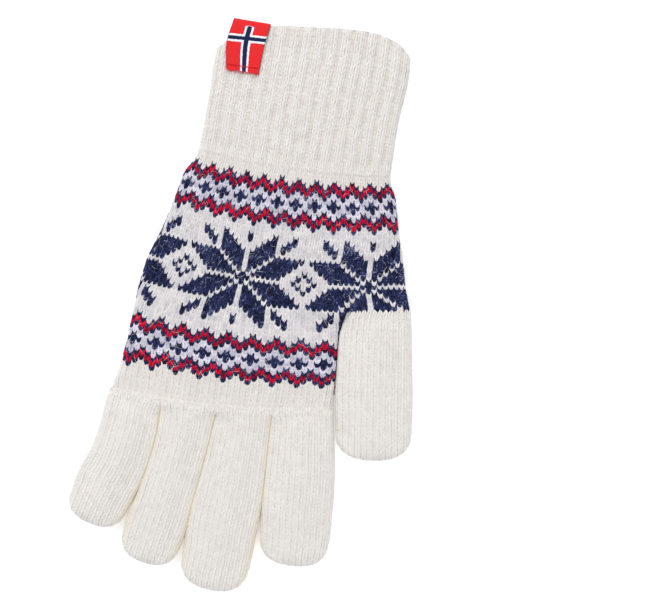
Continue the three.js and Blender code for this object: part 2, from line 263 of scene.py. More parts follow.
def matched_top(across, height, own, target, share):
    """The section's upper side brought towards the surface that it grows out of."""
    centre, _, fold, _ = own
    x = across + centre
    weight = share * np.clip((height - fold / 2) / (fold / 2), 0, 1)
    return height + weight * (dome(x, *target) - dome(x, *own))


def table_columns(rows):
    return {name: np.array(values, float) for name, values in zip(ROW, zip(*rows))}


def row_at(table, knots, at):
    """A table's row at any place along its knots."""
    return {name: float(smooth(knots, values, at)) for name, values in table.items()}


def points_at(across, height, shares):
    """Points of an outline at shares of its length."""
    measure = lengths_along(across, height)
    return np.interp(shares * measure[-1], measure, across), np.interp(shares * measure[-1], measure, height)


# The grids that stitches are laid on: points and normals at every half column and half course

def grid_normals(points):
    """Outward normals of a closed grid of points, courses by columns, columns left to right on the upper side."""
    along = np.gradient(points, axis=0)
    across = np.roll(points, -1, axis=1) - np.roll(points, 1, axis=1)
    normals = np.cross(along, across)
    return normals / np.maximum(np.linalg.norm(normals, axis=2, keepdims=True), 1e-9)


def at_columns(lines, course, columns):
    knots = [row[0] for row in lines]
    middle, spacing, growth = (smooth(knots, [row[i] for row in lines], course) for i in (1, 2, 3))
    return middle + spacing * columns + growth * columns**2


def course_height(course, x):
    knots = [row[0] for row in COURSE_LINES]
    height, slope, curve = (smooth(knots, [row[i] for row in COURSE_LINES], course) for i in (1, 2, 3))
    reach = x - COURSE_MIDDLE
    return height + slope * reach + curve * reach**2


def side_line(rows, side):
    """A side of an outline as x against y, from the cuff down."""
    c = table_columns(rows)
    turn = np.radians(c["turn"])
    x = c["x"] + side * c["width"] / 2 * np.cos(turn)
    y = c["y"] + side * c["width"] / 2 * np.sin(turn)
    return x, y


def side_place(lines, course):
    """Where a course's line meets a side of the outline."""
    x = lines[0][0]
    for _ in range(12):
        x = float(smooth(-lines[1], lines[0], -course_height(course, x)))
    return x


HAND_LEFT = tuple(
    np.concatenate([a[:6], b[1:]])
    for a, b in zip(side_line(HAND_ROWS, -1), side_line(PALM_ROWS, -1))
)
HAND_RIGHT = side_line(HAND_ROWS, 1)
PALM_RIGHT = side_line(PALM_ROWS, 1)


def hand_section(course, below):
    """The section of the hand along a course: its outline in x and z. Below is true under the thumb's root."""
    left = side_place(HAND_LEFT, course)
    right = side_place(PALM_RIGHT if below else HAND_RIGHT, course)
    c = table_columns(PALM_ROWS if below else HAND_ROWS)
    row_y = np.clip(course_height(course, COURSE_MIDDLE) + 2.5, c["y"].min(), c["y"].max())
    v = row_at(c, -c["y"], -row_y)
    share = float(1 - ease((course - SPLIT_COURSE + 0.5) / 3)) if below else 0.0
    across, height = outline(right - left, v["fold"], v["crown"], (0.0, share))
    centre = (left + right) / 2
    if below:
        own = (centre, right - left, v["fold"], v["crown"])
        height = matched_top(across, height, own, THUMB_ROOT, share)
    return across + centre, height


def hand_grid(below):
    """Points over one part of the hand. Its first column is the one at FIRST_COLUMN."""
    total = PALM_COLUMNS if below else HAND_COLUMNS
    first, last = (SPLIT_COURSE - 1, LAST_COURSE + 1) if below else (FIRST_COURSE - 1, SPLIT_COURSE)
    columns = np.arange(2 * total) / 2 + FIRST_COLUMN
    courses = np.arange(first, last + 0.25, 0.5)
    wide = np.arange(-30, 45, 0.25)
    points = []
    for course in courses:
        x, z = hand_section(course, below)
        measure = lengths_along(x, z)
        half = measure[2 * ARC_STEPS + FLAT_STEPS]
        length = measure[ARC_STEPS] + at_columns(COLUMN_LINES, course, wide) - x[ARC_STEPS]
        start = np.interp(0, length, wide)
        end = np.interp(half, length, wide)
        around = np.where(columns < start, columns + total, columns)
        front = np.interp(around, wide, length)
        back = half + (around - end) / (start + total - end) * (measure[-1] - half)
        place = np.where(around <= end, front, back)
        px = np.interp(place, measure, x)
        points.append(np.stack([px, course_height(course, px), np.interp(place, measure, z)], axis=1))
    points = np.array(points)
    normals = grid_normals(points)
    if not below:
        place = courses[:, None] + CUFF_COURSES - FIRST_COURSE
        points -= normals * rib_depth(columns[None, :], place)[:, :, None]
    return {"points": points, "normals": normals, "course": first, "column": FIRST_COLUMN}


def cuff_ring_at(row_y, shares, power):
    """A ring of points round the cuff at shares of the way round. Power says how squarely its line is bowed."""
    c = table_columns(CUFF_ROWS)
    v = row_at(c, -c["y"], -row_y)
    a, z = points_at(*outline(v["width"], v["fold"], v["crown"]), shares % 1)
    turn = math.radians(v["turn"])
    bow = v["bow"] * (1 - np.abs(2 * a / v["width"]) ** power)
    return np.stack([v["x"] + a * math.cos(turn), v["y"] + a * math.sin(turn) + bow, z], axis=1)


def cuff_points(places, count):
    """Rings of the cuff by course from the rim. The rim's line is bowed more squarely than the joint's."""
    rim_y, joint_y = CUFF_ROWS[0][1], CUFF_ROWS[-1][1]
    rings = []
    for place in places:
        row_y = rim_y + (joint_y - rim_y) * place / CUFF_COURSES
        power = 4 - 2 * np.clip(place / CUFF_COURSES, 0, 1)
        columns = gathered(np.arange(count) * HAND_COLUMNS / count + FIRST_COLUMN, place)
        rings.append(cuff_ring_at(row_y, (columns + CUFF_START) / HAND_COLUMNS, power))
    return np.array(rings)


def gathered(columns, course):
    """Where columns lie on the cuff: each purl column is drawn together between its knit neighbours."""
    fade = ease((CUFF_COURSES - course) / 4)
    return columns - GATHER * fade * np.sin(2 * math.pi * columns / 3)


def rib_depth(column, course):
    """How far a column sinks, by courses from the rim: deepest at the purl column. It fades out in the hand."""
    away = (column + 1.5) % 3 - 1.5
    fade = ease((CUFF_COURSES + PLAIN_COURSES - course) / (2 * PLAIN_COURSES))
    return fade * RIB_DEPTH * np.exp(-((away / RIB_BREADTH) ** 2))


def cuff_grid():
    """The cuff's outer face up to the rim, then over it and down the inner face."""
    count = 2 * HAND_COLUMNS
    places = np.arange(-1, CUFF_COURSES + 1.25, 0.5)
    outer = cuff_points(places, count)
    normals = grid_normals(outer)
    rise = outer[:-1] - outer[1:]
    rise /= np.linalg.norm(rise, axis=2, keepdims=True)
    at_rim = int(np.where(places == 0)[0][0])
    middle = outer[at_rim] - normals[at_rim] * RIM_RADIUS
    rows, facing, outward = [], [], []
    for i in range(2 * CUFF_INSIDE, 0, -1):
        rows.append(outer[at_rim + i - 1] - normals[at_rim + i - 1] * CUFF_WALL)
        facing.append(-normals[at_rim + i - 1])
        outward.append(normals[at_rim + i - 1])
    for step in range(1, 4):
        angle = math.pi * (1 - step / 4)
        way = normals[at_rim] * math.cos(angle) + rise[at_rim] * math.sin(angle)
        rows.append(middle + way * RIM_RADIUS)
        facing.append(way)
        outward.append(normals[at_rim])
    rows += list(outer[at_rim:])
    facing += list(normals[at_rim:])
    outward += list(normals[at_rim:])
    first = -2 - CUFF_INSIDE
    course = first + np.arange(len(rows)) / 2
    columns = FIRST_COLUMN + np.arange(count) / 2
    sunk = rib_depth(columns[None, :], np.maximum(course, 0)[:, None])
    rows = np.array(rows) - np.array(outward) * sunk[:, :, None]
    return {"points": rows, "normals": np.array(facing), "course": first, "column": FIRST_COLUMN}


def finger_rows(finger):
    """A finger's rows by their distance from its base."""
    c = table_columns(finger["rows"])
    c["distance"] = np.concatenate([[0], np.cumsum(np.hypot(np.diff(c["x"]), np.diff(c["y"])))])
    return c


def still_held(distance, reach):
    """1 where a finger's side is held against its neighbour, and down to 0 beyond that reach."""
    return float(1 - ease((distance - reach) / HELD_FADE))


def finger_section(finger, distance, depth=0.0):
    """A finger's row at a distance from its base, and its section there, at a depth below its surface."""
    c = finger_rows(finger)
    v = row_at(c, c["distance"], distance)
    on_palm = finger["rows"][0][1] < 0
    swell = FINGER_SWELL * still_held(distance, HELD_REACH)
    press = FINGER_SWELL + (FINGER_PRESS if on_palm else 0)
    left, right = (max(swell, press * still_held(distance, held)) if held else swell for held in finger["held"])
    v["width"] += left + right - 2 * depth
    v["x"] += (right - left) / 2 * math.cos(math.radians(v["turn"]))
    v["y"] += (right - left) / 2 * math.sin(math.radians(v["turn"]))
    v["fold"] -= 2 * depth
    v["crown"] -= 2 * depth
    share = float(1 - ease((distance - 1.9) / 5))
    square = [
        max(share, SQUARE_SIDE * still_held(distance, held - 6)) if held else 0.0 for held in finger["held"]
    ]
    across, height = outline(v["width"], v["fold"], v["crown"], square)
    middle, *sizes = FINGER_ROOT if on_palm else THUMB_ROOT
    target = (middle, *(size - 2 * depth for size in sizes))
    height = matched_top(across, height, (v["x"], v["width"], v["fold"], v["crown"]), target, share)
    return v, across, height + depth


def finger_place(v, across, forward, height):
    """Points of a finger in the row's frame, forward being towards the tip."""
    turn = math.radians(v["turn"])
    return np.stack([
        v["x"] + across * math.cos(turn) + forward * math.sin(turn),
        v["y"] + across * math.sin(turn) - forward * math.cos(turn),
        height,
    ], axis=-1)


def tip_section(v, tip, reach):
    """Width, fold and lift of a closing tip at a reach beyond the last row, and how much of it is left."""
    narrowing = np.clip(1 - (reach / tip) ** TIP_POWER, 0, 1) ** (1 / TIP_POWER)
    radius = v["fold"] / 2
    past = np.clip((reach - tip + radius) / radius, 0, 1)
    fold = v["fold"] * np.sqrt(1 - past * past)
    return v["width"] * narrowing, fold, (v["fold"] - fold) / 2, narrowing


def tip_path(v, tip, across, upper, pitch):
    """One column's way over the closing tip: straight on to the edge, and back on the other side."""
    end = tip * (1 - min(1, abs(2 * across / v["width"])) ** TIP_POWER) ** (1 / TIP_POWER)
    reach = end * np.sin(np.linspace(0, math.pi / 2, 60))
    width, fold, lift, narrowing = tip_section(v, tip, reach)
    radius = np.maximum(fold / 2, 1e-4)
    flat = np.maximum(width / 2 - radius, 0)
    out = np.clip((abs(across) - flat) / radius, 0, 1)
    round_height = radius * np.sqrt(1 - out * out)
    swell = (v["crown"] - v["fold"]) * narrowing**2
    s = np.clip(abs(across) / np.maximum(flat, 1e-4), 0, 1)
    top = lift + radius + round_height + swell * (1 - s * s) ** 1.5
    bottom = lift + radius - round_height
    sides = (top, bottom) if upper else (bottom, top)
    forward = np.concatenate([reach, reach[::-1][1:]])
    height = np.concatenate([sides[0], sides[1][::-1][1:]])
    measure = lengths_along(forward, height)
    edge = measure[len(reach) - 1]
    lengths = np.minimum(np.arange(1, TIP_ROWS + 1) * pitch / 2, measure[-1])
    forward, height = np.interp(lengths, measure, forward), np.interp(lengths, measure, height)
    middle = v["fold"] / 2
    half = np.maximum(tip_section(v, tip, forward)[1] / 2, 1e-3)
    up = np.clip((height - middle) / half, -1, 1)
    side = np.sign(across) * abs(2 * across / v["width"]) ** (TIP_POWER - 1) / v["width"] * 2
    ahead = (forward / tip) ** (TIP_POWER - 1) / tip
    size = np.maximum(np.hypot(side, ahead), 1e-9)
    level = np.sqrt(1 - up * up) / size
    return forward, height, edge, np.stack([side * level, ahead * level, up], axis=1)


def finger_grid(finger):
    """The finger's tube by course, then each column's way over the tip, and the length of each."""
    total = finger["columns"]
    straight = finger_rows(finger)["distance"][-1]
    courses = round(straight / FINGER_COURSE)
    pitch = straight / courses
    points = []
    for half in range(-2, 2 * courses + 1):
        v, across, height = finger_section(finger, max(0, half * pitch / 2))
        a, z = points_at(across, height, np.arange(2 * total) / (2 * total))
        points.append(finger_place(v, a, min(0, half * pitch / 2), z))
    tips, facing, edges = np.zeros((TIP_ROWS, 2 * total, 3)), np.zeros((TIP_ROWS, 2 * total, 3)), []
    turn = math.radians(v["turn"])
    for i in range(2 * total):
        forward, up, edge, way = tip_path(v, finger["tip"], a[i], z[i] >= v["fold"] / 2, pitch)
        tips[:, i] = finger_place(v, np.full(TIP_ROWS, a[i]), forward, up)
        facing[:, i, 0] = way[:, 0] * math.cos(turn) + way[:, 1] * math.sin(turn)
        facing[:, i, 1] = way[:, 0] * math.sin(turn) - way[:, 1] * math.cos(turn)
        facing[:, i, 2] = way[:, 2]
        edges.append(edge / pitch)
    points = np.array(points)
    return {
        "points": np.concatenate([points, tips]), "normals": np.concatenate([grid_normals(points), facing]),
        "course": -1.0, "column": 0, "courses": courses, "edges": np.array(edges),
    }


def on_grid(grid, columns, courses, heights):
    """Points at any column, course and height above a grid."""
    rows, count = grid["points"].shape[:2]
    u = (columns - grid["column"]) * 2
    v = np.clip((courses - grid["course"]) * 2, 0, rows - 1.001)
    i, j = np.floor(u).astype(int), np.floor(v).astype(int)
    fu, fv = (u - i)[:, None], (v - j)[:, None]
    i, k = i % count, (i + 1) % count
    points, way = (
        (a[j, i] * (1 - fu) + a[j, k] * fu) * (1 - fv) + (a[j + 1, i] * (1 - fu) + a[j + 1, k] * fu) * fv
        for a in (grid["points"], grid["normals"])
    )
    way /= np.maximum(np.linalg.norm(way, axis=1, keepdims=True), 1e-9)
    return points + way * heights[:, None]


def ring_on(grid, columns, course, height):
    """A row of points along one course of a grid."""
    return on_grid(grid, columns, np.full(len(columns), course), np.full(len(columns), height))


# Modelling

def start():
    """Nothing is in edit mode and nothing is selected."""
    if bpy.context.object and bpy.context.object.mode != "OBJECT":
        bpy.ops.object.mode_set(mode="OBJECT")
    bpy.ops.object.select_all(action="DESELECT")


def named(name):
    piece = bpy.context.object
    piece.name = name
    piece.data.name = name
    return piece


def read(mesh_part, field, size):
    values = np.empty(len(mesh_part) * size, np.float32)
    mesh_part.foreach_get(field, values)
    return values.reshape(-1, size) if size > 1 else values


def write(mesh_part, field, values, kind=np.float32):
    mesh_part.foreach_set(field, np.asarray(values, kind).ravel())


def place_points(piece, points):
    """A piece's points, given in millimetres."""
    write(piece.data.vertices, "co", np.asarray(points, np.float32) * MM)
    piece.data.update()


def set_shade(piece, values):
    """The tone at each point, which the yarn's material reads."""
    write(piece.data.attributes.new("shade", "FLOAT", "POINT").data, "value", values)


def edit_whole(operator, **options):
    """An edit-mode operator on the whole of the active piece."""
    bpy.ops.object.mode_set(mode="EDIT")
    bpy.ops.mesh.select_all(action="SELECT")
    operator(**options)
    bpy.ops.object.mode_set(mode="OBJECT")


def yarn_grain(name, segments=5, rings=4):
    """A rounded grain of yarn with its ends along Y, one unit long and wide."""
    start()
    bpy.ops.mesh.primitive_uv_sphere_add(segments=segments, ring_count=rings, radius=0.5)
    grain = named(name)
    edit_whole(bpy.ops.transform.rotate, value=math.pi / 2, orient_axis="X", center_override=(0, 0, 0))
    return grain


def shape_leg(grain, side):
    """One leg of a stitch, leaning in to its tip, thick at the top and thinner below. Its half of the yarn's
    map is the left one or the right one, by its side."""
    x, y, z = read(grain.data.vertices, "co", 3).T
    t = y + 0.5
    body = np.where(np.abs(y) > 0.49, 0.0, 1.2)
    width = 0.40 + 0.06 * t
    x = x * width * body + side * (0.12 + 0.30 * t - 0.02 * np.sin(math.pi * t))
    z = z * 0.62 * body - 0.22 - 0.22 * t**1.5
    y = -0.82 + 1.92 * t
    write(grain.data.vertices, "co", np.stack([x, y, z], 1))
    uv = read(grain.data.uv_layers[0].data, "uv", 2)
    uv[:, 0] = np.clip(uv[:, 0], 0, 1) * 0.48 + (0.01 if side < 0 else 0.51)
    uv[:, 1] = 0.02 + 0.96 * uv[:, 1]
    write(grain.data.uv_layers[0].data, "uv", uv)


def knit_unit(name):
    """A knit stitch: two legs that meet at the tip, one column wide and one course long."""
    left = yarn_grain(name + "_left")
    shape_leg(left, -1)
    right = yarn_grain(name)
    shape_leg(right, 1)
    left.select_set(True)
    bpy.context.view_layer.objects.active = right
    bpy.ops.object.join()
    return right


def purl_unit(name):
    """A purl stitch: one low bump across the column."""
    bump = yarn_grain(name)
    y, x, z = read(bump.data.vertices, "co", 3).T
    x = x * 1.35
    y = y * 1.7 + 0.2 * (1 - (2 * x) ** 2)
    write(bump.data.vertices, "co", np.stack([x, y, z * 0.4 - 0.22], 1))
    edit_whole(bpy.ops.mesh.normals_make_consistent, inside=False)
    return bump


def repeated(piece, columns, courses):
    """The unit repeated over columns and courses with arrays. Gives all its points, each unit about its own
    middle, and the number of the unit at each point."""
    faces_each, points_each = len(piece.data.polygons), len(piece.data.vertices)
    for count, step in ((columns, (1, 0, 0)), (courses, (0, -1, 0))):
        array = piece.modifiers.new("Repeat", "ARRAY")
        array.use_relative_offset = False
        array.use_constant_offset = True
        array.constant_offset_displace = step
        array.count = count
        bpy.ops.object.modifier_apply(modifier=array.name)
    map_yarn(piece, faces_each, columns, courses)
    points = read(piece.data.vertices, "co", 3).astype(float)
    index = np.arange(len(points)) // points_each
    points[:, 0] -= index % columns
    points[:, 1] += index // columns
    return points, index


def keep_stitches(piece, kept, faces_each):
    """Stitches that aren't kept are deleted."""
    if kept.all():
        return
    mesh = piece.data
    write(mesh.polygons, "select", np.repeat(~kept, faces_each), bool)
    for parts in (mesh.vertices, mesh.edges):
        write(parts, "select", np.zeros(len(parts)), bool)
    bpy.ops.object.mode_set(mode="EDIT")
    bpy.context.tool_settings.mesh_select_mode = (False, False, True)
    bpy.ops.mesh.delete(type="FACE")
    bpy.ops.object.mode_set(mode="OBJECT")


def drift(column, course, seed):
    """The slow wandering of a hand-laid fabric, from -1 to 1."""
    rng = np.random.default_rng(seed % 7)
    total = 0 * column
    for _ in range(4):
        across, down, phase = rng.uniform(0.12, 0.5), rng.uniform(0.1, 0.45), rng.uniform(0, 6.28)
        total = total + np.sin(across * column + down * course + phase)
    return total / 4


def lay_stitches(name, unit, grid, columns, courses, kept, colours, materials, seed, raised=None):
    """A field of stitches laid on a grid. Columns and courses are ranges of whole numbers, kept and colours
    are arrays of courses by columns, and raised is a height for each course."""
    start()
    unit.select_set(True)
    bpy.context.view_layer.objects.active = unit
    bpy.ops.object.duplicate()
    piece = named(name)
    v, index = repeated(piece, len(columns), len(courses))
    for material in materials:
        piece.data.materials.append(material)
    column = np.tile(np.array(columns, float), len(courses))[index]
    course = np.repeat(np.array(courses, float), len(columns))[index]
    rng = np.random.default_rng(seed)
    slide, sink, lean, tone, rise = rng.normal(size=(5, kept.size)).clip(-2, 2)[:, index]
    loft = np.array(LOFT)[colours.ravel()][index]
    lift = SINK * sink + loft
    if raised is not None:
        lift = lift + np.repeat(raised, len(columns))[index]
    size = 1 + loft
    u = v[:, 0] * size * (1 + SPREAD * lean) + SLIDE * slide + LEAN * tone * v[:, 1]
    w = v[:, 1] * size + SHIFT * rise
    u = u + column + COLUMN_DRIFT * drift(column, course, seed)
    w = course - w + COURSE_DRIFT * drift(column, course, seed + 1)
    place_points(piece, on_grid(grid, u, w, v[:, 2] * size + lift))
    set_shade(piece, np.clip(0.5 + 0.2 * tone, 0, 1))
    faces_each = len(piece.data.polygons) // kept.size
    write(piece.data.polygons, "material_index", np.repeat(colours.ravel(), faces_each), np.int32)
    bpy.ops.object.shade_smooth()
    keep_stitches(piece, kept.ravel(), faces_each)
    return piece


def lay_fibres(name, grid, columns, courses, count, seed):
    """Stray fibres of wool that lie over the stitches in slow curves and stand a little proud."""
    fibre = yarn_grain(name, 3, 6)
    v, index = repeated(fibre, FIBRE_ROW, count // FIBRE_ROW)
    fibre.data.materials.append(FIBRE)
    rng = np.random.default_rng(seed)
    start_column, start_course = rng.uniform(*columns, count), rng.uniform(*courses, count)
    heading, curl = rng.uniform(0, 2 * math.pi, count)[index], rng.normal(0, 0.9, count)[index]
    length, arch, radius = (rng.uniform(*span, count)[index] for span in (FIBRE_LENGTH, FIBRE_ARCH, FIBRE_RADIUS))
    t = v[:, 1] + 0.5
    way = heading + curl * t
    middle = heading + curl * t / 2
    run = length * t
    aside = 2 * radius * v[:, 0]
    u = start_column[index] + (run * np.cos(middle) - aside * np.sin(way)) / FIBRE_COLUMN
    w = start_course[index] + (run * np.sin(middle) + aside * np.cos(way)) / FINGER_COURSE
    height = arch * np.sin(math.pi * t) - FIBRE_SINK + 2 * radius * v[:, 2]
    points = on_grid(grid, u, w, height)
    points[:, 2] = np.maximum(points[:, 2], 0)
    place_points(fibre, points)
    set_shade(fibre, rng.uniform(0.2, 0.9, count)[index])
    bpy.ops.object.shade_smooth()
    return fibre


def map_yarn(piece, faces_each, columns, courses):
    """Two maps: one stitch each for the yarn's twist, and one with a place of its own for every stitch."""
    mesh = piece.data
    mesh.uv_layers[0].name = "Yarn"
    uv = read(mesh.uv_layers["Yarn"].data, "uv", 2)
    own = mesh.uv_layers.new(name="OFBake")
    loops = read(mesh.polygons, "loop_total", 1).astype(int)
    stitch = np.repeat(np.arange(len(mesh.polygons)) // faces_each, loops)
    spread = np.stack([(uv[:, 0] + stitch % columns) / columns, (uv[:, 1] + stitch // columns) / courses], 1)
    write(own.data, "uv", spread)


def ground(name, rings, wall, materials, colours=None, closed=False):
    """The cloth behind the stitches: a tube through rings of points, with its wall grown inwards."""
    rings = np.concatenate([rings, rings[:, :1]], axis=1)
    if closed:
        rings = np.concatenate([rings, np.broadcast_to(rings[-1].mean(axis=0), rings[:1].shape)])
    rows, around = rings.shape[:2]
    start()
    bpy.ops.mesh.primitive_grid_add(x_subdivisions=around - 1, y_subdivisions=rows - 1, size=1)
    piece = named(name)
    place_points(piece, rings[::-1].reshape(-1, 3))
    piece.data.uv_layers[0].name = "OFBake"
    for material in materials:
        piece.data.materials.append(material)
    if colours is not None:
        write(piece.data.polygons, "material_index", colours[::-1], np.int32)
    edit_whole(bpy.ops.mesh.remove_doubles, threshold=0.00001)
    solid = piece.modifiers.new("Wall", "SOLIDIFY")
    solid.thickness = wall * MM
    solid.offset = -1
    bpy.ops.object.modifier_apply(modifier=solid.name)
    bpy.ops.object.shade_smooth()
    return piece


def join(name, parts):
    """Parts made one piece, with their bake maps side by side."""
    for i, part in enumerate(parts):
        own = part.data.uv_layers["OFBake"]
        uv = read(own.data, "uv", 2)
        write(own.data, "uv", (uv + (i, 0)) / (len(parts), 1))
    start()
    for part in parts:
        part.select_set(True)
    bpy.context.view_layer.objects.active = parts[0]
    bpy.ops.object.join()
    return named(name)


# Materials

def shader(name):
    material = bpy.data.materials.new(name)
    material.use_nodes = True
    tree = material.node_tree
    return material, tree, tree.nodes["Principled BSDF"]


def node(tree, kind, **values):
    made = tree.nodes.new(kind)
    for key, value in values.items():
        if key in made.bl_rna.properties:
            setattr(made, key, value)
        else:
            made.inputs[key].default_value = value
    return made


def maths(tree, operation, a, b=None):
    made = tree.nodes.new("ShaderNodeMath")
    made.operation = operation
    for slot, value in enumerate((a, b)):
        if isinstance(value, (int, float)):
            made.inputs[slot].default_value = value
        elif value is not None:
            tree.links.new(value, made.inputs[slot])
    return made.outputs[0]


def sums(tree, *operations):
    """Operations to call on a tree's values: adding, subtracting, multiplying, and any more that are named."""
    return (partial(maths, tree, operation) for operation in ("ADD", "SUBTRACT", "MULTIPLY", *operations))


def set_inputs(made, values):
    for name, value in values.items():
        made.inputs[name].default_value = value


def texture(tree, kind, **values):
    """A texture on Object coordinates."""
    made = node(tree, kind, **values)
    tree.links.new(node(tree, "ShaderNodeTexCoord").outputs["Object"], made.inputs["Vector"])
    return made.outputs["Fac"]


def map_places(tree, name):
    """The two coordinates of a piece's own map."""
    split = node(tree, "ShaderNodeSeparateXYZ")
    tree.links.new(node(tree, "ShaderNodeUVMap", uv_map=name).outputs["UV"], split.inputs["Vector"])
    return split.outputs["X"], split.outputs["Y"]


def colour_ramp(tree, level, *stops):
    """Colours by level, from stops of a position and a linear colour."""
    ramp = node(tree, "ShaderNodeValToRGB")
    for i, (position, colour) in enumerate(stops):
        element = ramp.color_ramp.elements[i] if i < 2 else ramp.color_ramp.elements.new(position)
        element.position = position
        element.color = (*colour, 1)
    tree.links.new(level, ramp.inputs["Fac"])
    return ramp


def relief(tree, surface, height, strength, distance):
    """Fine relief that bends the light and leaves the shape as it is."""
    lift = node(tree, "ShaderNodeBump", Strength=strength, Distance=distance)
    tree.links.new(height, lift.inputs["Height"])
    tree.links.new(lift.outputs["Normal"], surface.inputs["Normal"])


def yarn(name, deep, pale, sheen=0.3, flecks=0.35, grain=2600.0, softness=0.2, glint=None):
    """Soft spun yarn: colour varies by stitch and by fibre, with a fine twist and a fuzzy sheen."""
    material, tree, surface = shader(name)
    add, less, times, sine = sums(tree, "SINE")
    fibres = texture(tree, "ShaderNodeTexNoise", Scale=grain, Detail=3.0, Roughness=0.7)
    patches = texture(tree, "ShaderNodeTexNoise", Scale=120.0, Detail=2.0)
    shade = node(tree, "ShaderNodeAttribute", attribute_name="shade").outputs["Fac"]
    level = add(add(times(shade, 0.5), times(fibres, flecks)), times(patches, 0.12))
    level = less(level, flecks / 2 - 0.19)
    stops = [(0.2, deep), (0.8, pale)] + ([(0.97, glint)] if glint else [])
    tree.links.new(colour_ramp(tree, level, *stops).outputs["Color"], surface.inputs["Base Color"])
    across, along = map_places(tree, "Yarn")
    twist = sine(add(times(across, 24.0), times(along, 22.0)))
    relief(tree, surface, add(times(twist, 0.25), fibres), 0.5, 0.00012)
    set_inputs(surface, {
        "Roughness": 0.92, "Specular IOR Level": 0.2, "Sheen Weight": sheen, "Sheen Roughness": 0.5,
        "Subsurface Weight": softness, "Subsurface Radius": (1.0, 0.9, 0.8), "Subsurface Scale": 0.0006,
    })
    return material


def back_cloth(name, deep, pale):
    """The inside of the knit, with the faint ridges of its purl side."""
    material, tree, surface = shader(name)
    grain = texture(tree, "ShaderNodeTexNoise", Scale=900.0, Detail=3.0)
    ridges = texture(tree, "ShaderNodeTexWave", Scale=550.0, Distortion=1.5, Detail=1.0, bands_direction="Y")
    ramp = colour_ramp(tree, grain, (0.0, deep), (1.0, pale))
    tree.links.new(ramp.outputs["Color"], surface.inputs["Base Color"])
    relief(tree, surface, maths(tree, "ADD", grain, ridges), 0.5, 0.0003)
    set_inputs(surface, {"Roughness": 0.95, "Sheen Weight": 0.2})
    return material


CREAM = yarn("Cream wool", (0.80, 0.737, 0.665), (0.905, 0.842, 0.77))
# Darker, warmer cream for the cuff's purl stitches: painted shade in the rib's grooves
CREAM_PURL_SHADED = yarn("Cream wool with painted groove shade", (0.70, 0.63, 0.545), (0.85, 0.78, 0.69))
# Warm tan cream: painted shade and bounced light in the grooves between the fingers
CREAM_FOLD_SHADED = yarn("Cream wool with painted shade between the fingers", (0.82, 0.735, 0.60), (0.91, 0.835, 0.70))
CREAM_HAND = yarn("Cream wool of the hand", (0.757, 0.695, 0.63), (0.857, 0.796, 0.732))
WHITE = yarn("White wool", (0.56, 0.54, 0.55), (0.898, 0.832, 0.796), flecks=0.8, grain=1500.0)
FROST = yarn("Frosted white wool", (0.40, 0.38, 0.46), (0.91, 0.85, 0.92), flecks=1.1, grain=1500.0)
NAVY = yarn("Navy wool", (0.001, 0.002, 0.010), (0.034, 0.044, 0.14), sheen=0.0, flecks=2.4, grain=1400.0,
            softness=0.0, glint=(0.26, 0.29, 0.42))
RED = yarn("Red wool", (0.07, 0.001, 0.022), (0.86, 0.008, 0.038), sheen=0.0, flecks=2.0, grain=1500.0,
           softness=0.05)
THREAD = yarn("Red thread", (0.45, 0.004, 0.01), (0.80, 0.02, 0.025), sheen=0.0)
FIBRE = yarn("Loose wool fibres", (0.80, 0.75, 0.72), (0.95, 0.90, 0.87))
CREAM_BACK = back_cloth("Cream wool inside", (0.82, 0.74, 0.64), (0.90, 0.83, 0.74))
NAVY_BACK = back_cloth("Navy wool inside", (0.012, 0.015, 0.05), (0.04, 0.05, 0.11))
RED_BACK = back_cloth("Red wool inside", (0.35, 0.004, 0.02), (0.5, 0.01, 0.04))


# The pattern

def star(c, r):
    """True where the eight-petalled star is navy, c columns and r courses from its middle."""
    a, b = abs(c), abs(r)
    middle = (a, b) in ((0, 0), (1, 0), (0, 1))
    side_petal = 1 <= b <= 5 and b + 1 <= a <= b + 6
    end_petal = 1 <= a <= 5 and a + 1 <= b <= a + 5
    dot = a == 0 and b in (9, 10)
    leaf = a in (7, 8, 9) and b in (a, a + 1)
    diamond = (abs(a - 12), b) in ((0, 2), (1, 1), (2, 0))
    return middle or side_petal or end_petal or dot or leaf or diamond


def stitch_colour(column, course):
    """0 cream, 1 white, 2 navy, 3 red, 4 white among the borders' colours. The outermost rows of both borders
    are on cream."""
    for first in (0, LOWER_BORDER):
        if 0 <= course - first < len(BORDER):
            outer = course < 2 or course - LOWER_BORDER > 10
            return {".": 0 if outer else 1, "f": 4, "N": 2, "R": 3}[BORDER[course - first][column % 4]]
    if abs(course - STAR_MIDDLE) <= STAR_REACH:
        half = STAR_REPEAT // 2
        return 2 if star((column + half) % STAR_REPEAT - half, course - STAR_MIDDLE) else 1
    return 1 if 0 <= course < LOWER_BORDER + len(BORDER) else 0


def hand_colours(columns, courses, below):
    """The chart over a field of stitches. Under the thumb's root the back's columns skip the thumb's, and one
    column beside the thumb is navy, red every fifth course, as painted shade in the groove there.
    """
    field = np.zeros((len(courses), len(columns)), int)
    for j, course in enumerate(courses):
        for i, column in enumerate(columns):
            skipped = THUMB_COLUMNS if below and column > LOWER_FRONT_END else 0
            field[j, i] = stitch_colour(column + skipped, course)
            # Painted shade: the groove beside the thumb drawn as navy stitches, red every fifth course
            if below and column == THUMB_SHADE_COLUMN and course in THUMB_SHADE_COURSES:
                field[j, i] = 3 if course % 5 == 0 else 2
    return field


# The hand

KNIT = knit_unit("knit_stitch")
PURL = purl_unit("purl_stitch")

KNIT_MATERIALS = [CREAM_HAND, WHITE, NAVY, RED, FROST]
BACK_MATERIALS = [CREAM_BACK, CREAM_BACK, NAVY_BACK, RED_BACK, CREAM_BACK]
# Above and below the split: the grid, its courses, and the courses with stray fibres
HAND_PARTS = [
    (hand_grid(False), range(FIRST_COURSE, SPLIT_COURSE), (0, SPLIT_COURSE - 3)),
    (hand_grid(True), range(SPLIT_COURSE, LAST_COURSE + 1), (SPLIT_COURSE + 1, LAST_COURSE - 3)),
]


